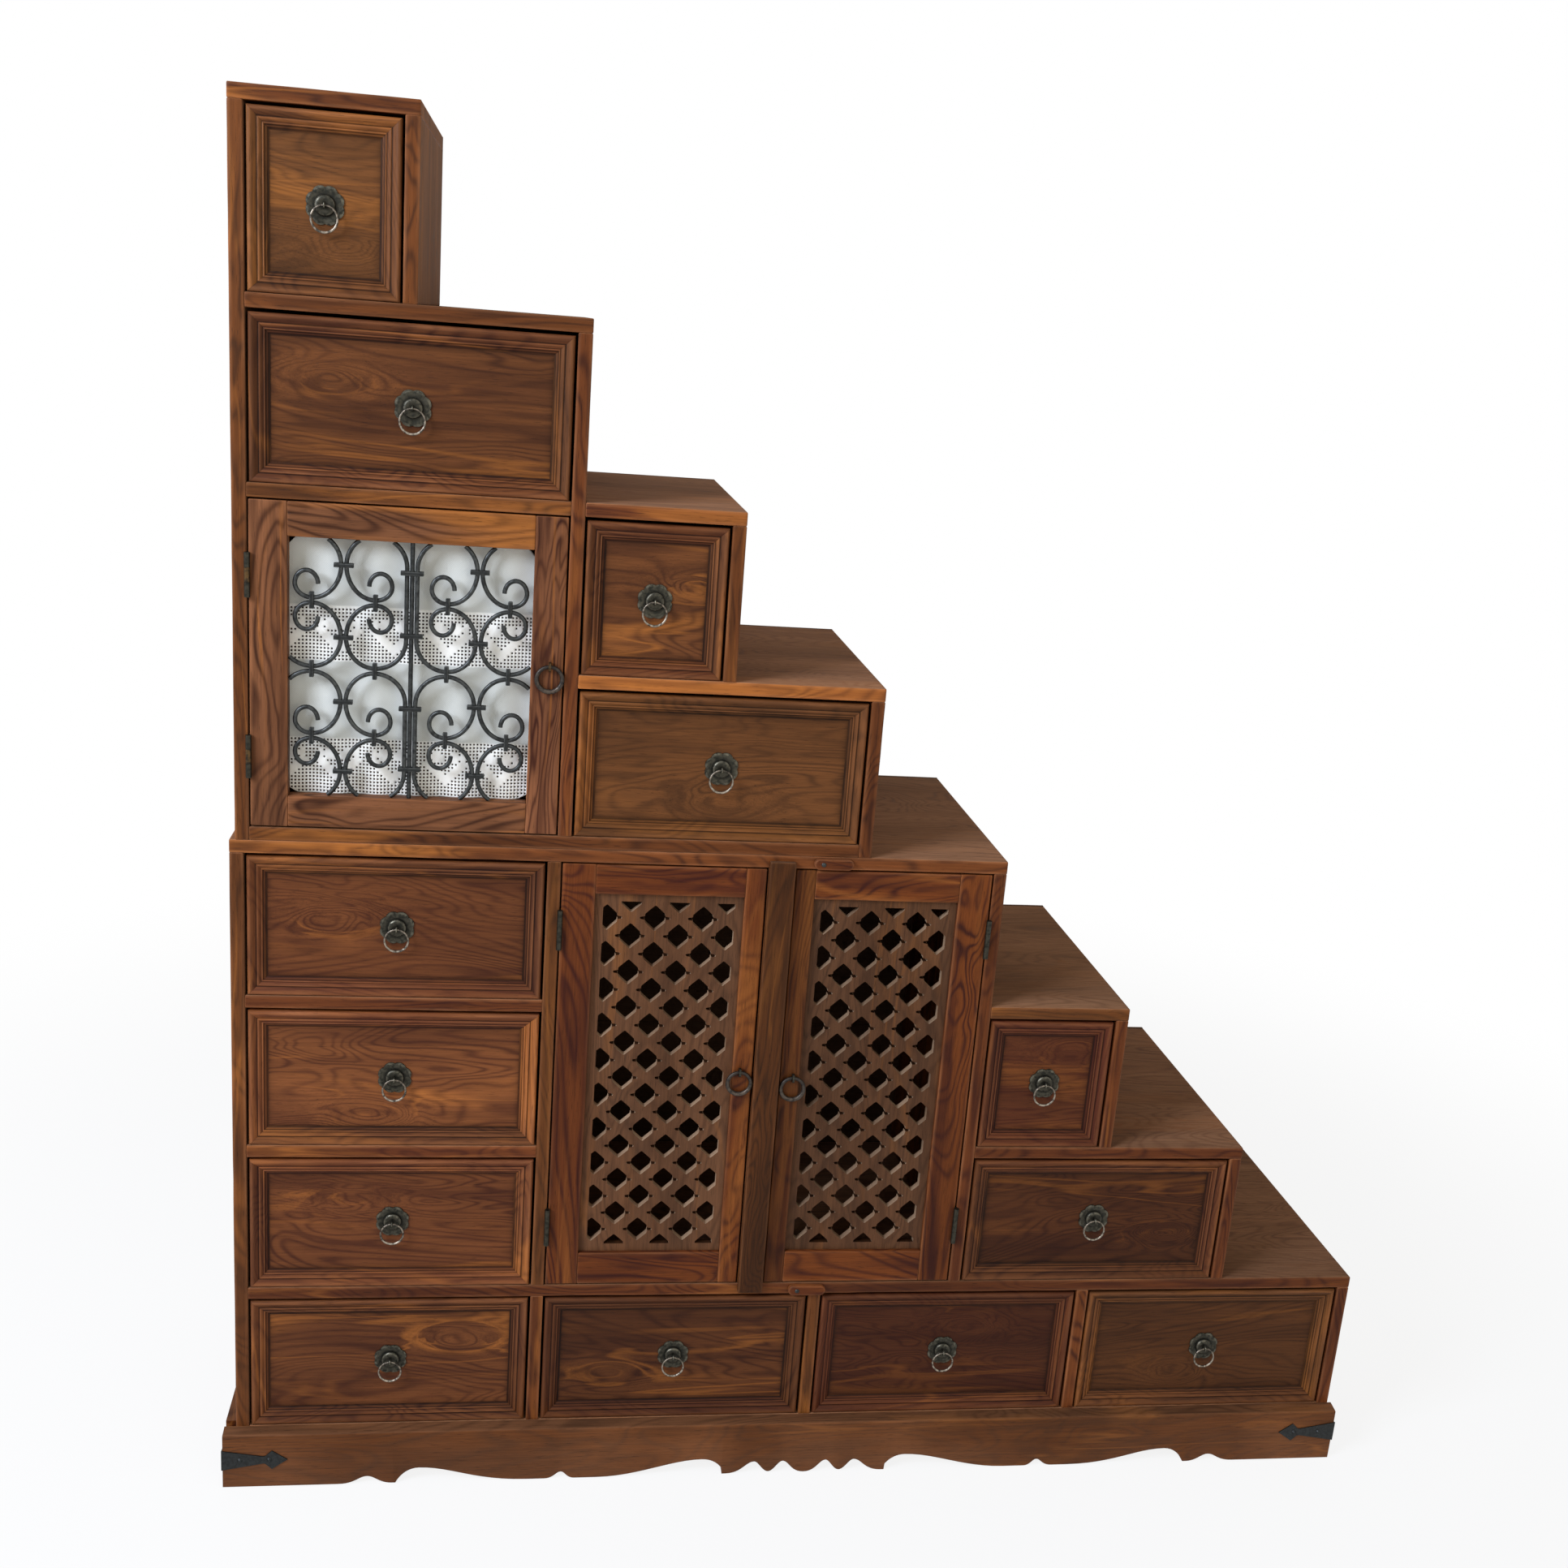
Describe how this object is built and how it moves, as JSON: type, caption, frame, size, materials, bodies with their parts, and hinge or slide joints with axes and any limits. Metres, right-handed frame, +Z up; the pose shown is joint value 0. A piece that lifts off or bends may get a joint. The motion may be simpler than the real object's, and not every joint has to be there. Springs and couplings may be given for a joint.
{
  "type": "step chest",
  "caption": "Wooden step chest in two stacked sections, its tops climbing as stairs, with framed drawers, an iron-grilled door and lattice doors",
  "frame": {"origin": "middle of the base on the floor, under the bounding box's centre", "axes": "+Z up, the drawers face -Y, the steps go down towards +X"},
  "size_m": [1.601, 0.442, 1.78],
  "materials": {
    "case_wood": "satin",
    "drawer_wood": "satin",
    "door_wood": "satin",
    "lattice_wood": "satin",
    "plinth_wood": "satin",
    "back_wood": "matte",
    "bronze": "patinated",
    "old_brass": "dull",
    "iron": "blackened",
    "linen": "woven"
  },
  "bodies": {
    "case": {"upper_case": "case_wood", "lower_case": "case_wood", "back_boards": "back_wood", "plinth": "plinth_wood", "plinth_straps": "iron", "hinge_leaves": "old_brass"},
    "drawer_level_8": {"drawer_level_8": "drawer_wood", "pull_plate_level_8": "bronze"},
    "pull_ring_level_8": {"pull_ring_level_8": "bronze"},
    "drawer_level_7": {"drawer_level_7": "drawer_wood", "pull_plate_level_7": "bronze"},
    "pull_ring_level_7": {"pull_ring_level_7": "bronze"},
    "drawer_level_6": {"drawer_level_6": "drawer_wood", "pull_plate_level_6": "bronze"},
    "pull_ring_level_6": {"pull_ring_level_6": "bronze"},
    "drawer_level_5": {"drawer_level_5": "drawer_wood", "pull_plate_level_5": "bronze"},
    "pull_ring_level_5": {"pull_ring_level_5": "bronze"},
    "drawer_level_4_left": {"drawer_level_4_left": "drawer_wood", "pull_plate_level_4_left": "bronze"},
    "pull_ring_level_4_left": {"pull_ring_level_4_left": "bronze"},
    "drawer_level_3_left": {"drawer_level_3_left": "drawer_wood", "pull_plate_level_3_left": "bronze"},
    "pull_ring_level_3_left": {"pull_ring_level_3_left": "bronze"},
    "drawer_level_2_left": {"drawer_level_2_left": "drawer_wood", "pull_plate_level_2_left": "bronze"},
    "pull_ring_level_2_left": {"pull_ring_level_2_left": "bronze"},
    "drawer_level_3_right": {"drawer_level_3_right": "drawer_wood", "pull_plate_level_3_right": "bronze"},
    "pull_ring_level_3_right": {"pull_ring_level_3_right": "bronze"},
    "drawer_level_2_right": {"drawer_level_2_right": "drawer_wood", "pull_plate_level_2_right": "bronze"},
    "pull_ring_level_2_right": {"pull_ring_level_2_right": "bronze"},
    "drawer_level_1_first": {"drawer_level_1_first": "drawer_wood", "pull_plate_level_1_first": "bronze"},
    "pull_ring_level_1_first": {"pull_ring_level_1_first": "bronze"},
    "drawer_level_1_second": {"drawer_level_1_second": "drawer_wood", "pull_plate_level_1_second": "bronze"},
    "pull_ring_level_1_second": {"pull_ring_level_1_second": "bronze"},
    "drawer_level_1_third": {"drawer_level_1_third": "drawer_wood", "pull_plate_level_1_third": "bronze"},
    "pull_ring_level_1_third": {"pull_ring_level_1_third": "bronze"},
    "drawer_level_1_fourth": {"drawer_level_1_fourth": "drawer_wood", "pull_plate_level_1_fourth": "bronze"},
    "pull_ring_level_1_fourth": {"pull_ring_level_1_fourth": "bronze"},
    "grille_door": {"grille_door_frame": "door_wood", "grille_door_hardware": "old_brass", "grille_iron": "iron", "curtain": "linen"},
    "lattice_door_left": {"lattice_door_left_frame": "door_wood", "lattice_door_left_hardware": "old_brass", "lattice_panel_left": "lattice_wood"},
    "lattice_door_right": {"lattice_door_right_frame": "door_wood", "lattice_door_right_hardware": "old_brass", "lattice_panel_right": "lattice_wood"},
    "grille_door_ring": {"grille_door_ring": "iron"},
    "lattice_door_left_ring": {"lattice_door_left_ring": "iron"},
    "lattice_door_right_ring": {"lattice_door_right_ring": "iron"},
    "turn_button_top": {"turn_button_top": "door_wood"},
    "turn_button_bottom": {"turn_button_bottom": "door_wood"}
  },
  "joints": [
    {"name": "drawer_level_8_slide", "type": "slide", "parent": "case", "child": "drawer_level_8", "axis": [0, -1, 0], "range_m": [0, 0.3]},
    {"name": "pull_ring_level_8_swing", "type": "hinge", "parent": "drawer_level_8", "child": "pull_ring_level_8", "pos_m": [-0.6705, -0.1992, 1.66015], "axis": [-1, 0, 0], "range_deg": [0, 160]},
    {"name": "drawer_level_7_slide", "type": "slide", "parent": "case", "child": "drawer_level_7", "axis": [0, -1, 0], "range_m": [0, 0.3]},
    {"name": "pull_ring_level_7_swing", "type": "hinge", "parent": "drawer_level_7", "child": "pull_ring_level_7", "pos_m": [-0.5705, -0.1992, 1.44465], "axis": [-1, 0, 0], "range_deg": [0, 160]},
    {"name": "drawer_level_6_slide", "type": "slide", "parent": "case", "child": "drawer_level_6", "axis": [0, -1, 0], "range_m": [0, 0.3]},
    {"name": "pull_ring_level_6_swing", "type": "hinge", "parent": "drawer_level_6", "child": "pull_ring_level_6", "pos_m": [-0.2775, -0.1992, 1.23365], "axis": [-1, 0, 0], "range_deg": [0, 160]},
    {"name": "drawer_level_5_slide", "type": "slide", "parent": "case", "child": "drawer_level_5", "axis": [0, -1, 0], "range_m": [0, 0.3]},
    {"name": "pull_ring_level_5_swing", "type": "hinge", "parent": "drawer_level_5", "child": "pull_ring_level_5", "pos_m": [-0.182, -0.1992, 1.02515], "axis": [-1, 0, 0], "range_deg": [0, 160]},
    {"name": "drawer_level_4_left_slide", "type": "slide", "parent": "case", "child": "drawer_level_4_left", "axis": [0, -1, 0], "range_m": [0, 0.3]},
    {"name": "pull_ring_level_4_left_swing", "type": "hinge", "parent": "drawer_level_4_left", "child": "pull_ring_level_4_left", "pos_m": [-0.5795, -0.1992, 0.80215], "axis": [-1, 0, 0], "range_deg": [0, 160]},
    {"name": "drawer_level_3_left_slide", "type": "slide", "parent": "case", "child": "drawer_level_3_left", "axis": [0, -1, 0], "range_m": [0, 0.3]},
    {"name": "pull_ring_level_3_left_swing", "type": "hinge", "parent": "drawer_level_3_left", "child": "pull_ring_level_3_left", "pos_m": [-0.5795, -0.1992, 0.59565], "axis": [-1, 0, 0], "range_deg": [0, 160]},
    {"name": "drawer_level_2_left_slide", "type": "slide", "parent": "case", "child": "drawer_level_2_left", "axis": [0, -1, 0], "range_m": [0, 0.3]},
    {"name": "pull_ring_level_2_left_swing", "type": "hinge", "parent": "drawer_level_2_left", "child": "pull_ring_level_2_left", "pos_m": [-0.5795, -0.1992, 0.38765], "axis": [-1, 0, 0], "range_deg": [0, 160]},
    {"name": "drawer_level_3_right_slide", "type": "slide", "parent": "case", "child": "drawer_level_3_right", "axis": [0, -1, 0], "range_m": [0, 0.3]},
    {"name": "pull_ring_level_3_right_swing", "type": "hinge", "parent": "drawer_level_3_right", "child": "pull_ring_level_3_right", "pos_m": [0.2925, -0.1992, 0.59565], "axis": [-1, 0, 0], "range_deg": [0, 160]},
    {"name": "drawer_level_2_right_slide", "type": "slide", "parent": "case", "child": "drawer_level_2_right", "axis": [0, -1, 0], "range_m": [0, 0.3]},
    {"name": "pull_ring_level_2_right_swing", "type": "hinge", "parent": "drawer_level_2_right", "child": "pull_ring_level_2_right", "pos_m": [0.39, -0.1992, 0.38765], "axis": [-1, 0, 0], "range_deg": [0, 160]},
    {"name": "drawer_level_1_first_slide", "type": "slide", "parent": "case", "child": "drawer_level_1_first", "axis": [0, -1, 0], "range_m": [0, 0.3]},
    {"name": "pull_ring_level_1_first_swing", "type": "hinge", "parent": "drawer_level_1_first", "child": "pull_ring_level_1_first", "pos_m": [-0.5795, -0.1992, 0.17815], "axis": [-1, 0, 0], "range_deg": [0, 160]},
    {"name": "drawer_level_1_second_slide", "type": "slide", "parent": "case", "child": "drawer_level_1_second", "axis": [0, -1, 0], "range_m": [0, 0.3]},
    {"name": "pull_ring_level_1_second_swing", "type": "hinge", "parent": "drawer_level_1_second", "child": "pull_ring_level_1_second", "pos_m": [-0.1945, -0.1992, 0.17815], "axis": [-1, 0, 0], "range_deg": [0, 160]},
    {"name": "drawer_level_1_third_slide", "type": "slide", "parent": "case", "child": "drawer_level_1_third", "axis": [0, -1, 0], "range_m": [0, 0.3]},
    {"name": "pull_ring_level_1_third_swing", "type": "hinge", "parent": "drawer_level_1_third", "child": "pull_ring_level_1_third", "pos_m": [0.1915, -0.1992, 0.17815], "axis": [-1, 0, 0], "range_deg": [0, 160]},
    {"name": "drawer_level_1_fourth_slide", "type": "slide", "parent": "case", "child": "drawer_level_1_fourth", "axis": [0, -1, 0], "range_m": [0, 0.3]},
    {"name": "pull_ring_level_1_fourth_swing", "type": "hinge", "parent": "drawer_level_1_fourth", "child": "pull_ring_level_1_fourth", "pos_m": [0.5845, -0.1992, 0.17815], "axis": [-1, 0, 0], "range_deg": [0, 160]},
    {"name": "grille_door_hinge", "type": "hinge", "parent": "case", "child": "grille_door", "pos_m": [-0.7565, -0.2028, 1.132], "axis": [0, 0, -1], "range_deg": [0, 110]},
    {"name": "lattice_door_left_hinge", "type": "hinge", "parent": "case", "child": "lattice_door_left", "pos_m": [-0.3765, -0.2028, 0.596], "axis": [0, 0, -1], "range_deg": [0, 90]},
    {"name": "lattice_door_right_hinge", "type": "hinge", "parent": "case", "child": "lattice_door_right", "pos_m": [0.1855, -0.2028, 0.596], "axis": [0, 0, 1], "range_deg": [0, 90]},
    {"name": "grille_door_ring_swing", "type": "hinge", "parent": "grille_door", "child": "grille_door_ring", "pos_m": [-0.4015, -0.203, 1.1485], "axis": [-1, 0, 0], "range_deg": [0, 160]},
    {"name": "lattice_door_left_ring_swing", "type": "hinge", "parent": "lattice_door_left", "child": "lattice_door_left_ring", "pos_m": [-0.1316, -0.203, 0.613], "axis": [-1, 0, 0], "range_deg": [0, 160]},
    {"name": "lattice_door_right_ring_swing", "type": "hinge", "parent": "lattice_door_right", "child": "lattice_door_right_ring", "pos_m": [-0.0594, -0.203, 0.6055], "axis": [-1, 0, 0], "range_deg": [0, 160]},
    {"name": "turn_button_top_turn", "type": "hinge", "parent": "case", "child": "turn_button_top", "pos_m": [-0.043, -0.2028, 0.9065], "axis": [0, 1, 0], "range_deg": [0, 90]},
    {"name": "turn_button_bottom_turn", "type": "hinge", "parent": "case", "child": "turn_button_bottom", "pos_m": [-0.0295, -0.2028, 0.2855], "axis": [0, -1, 0], "range_deg": [0, 90]}
  ]
}
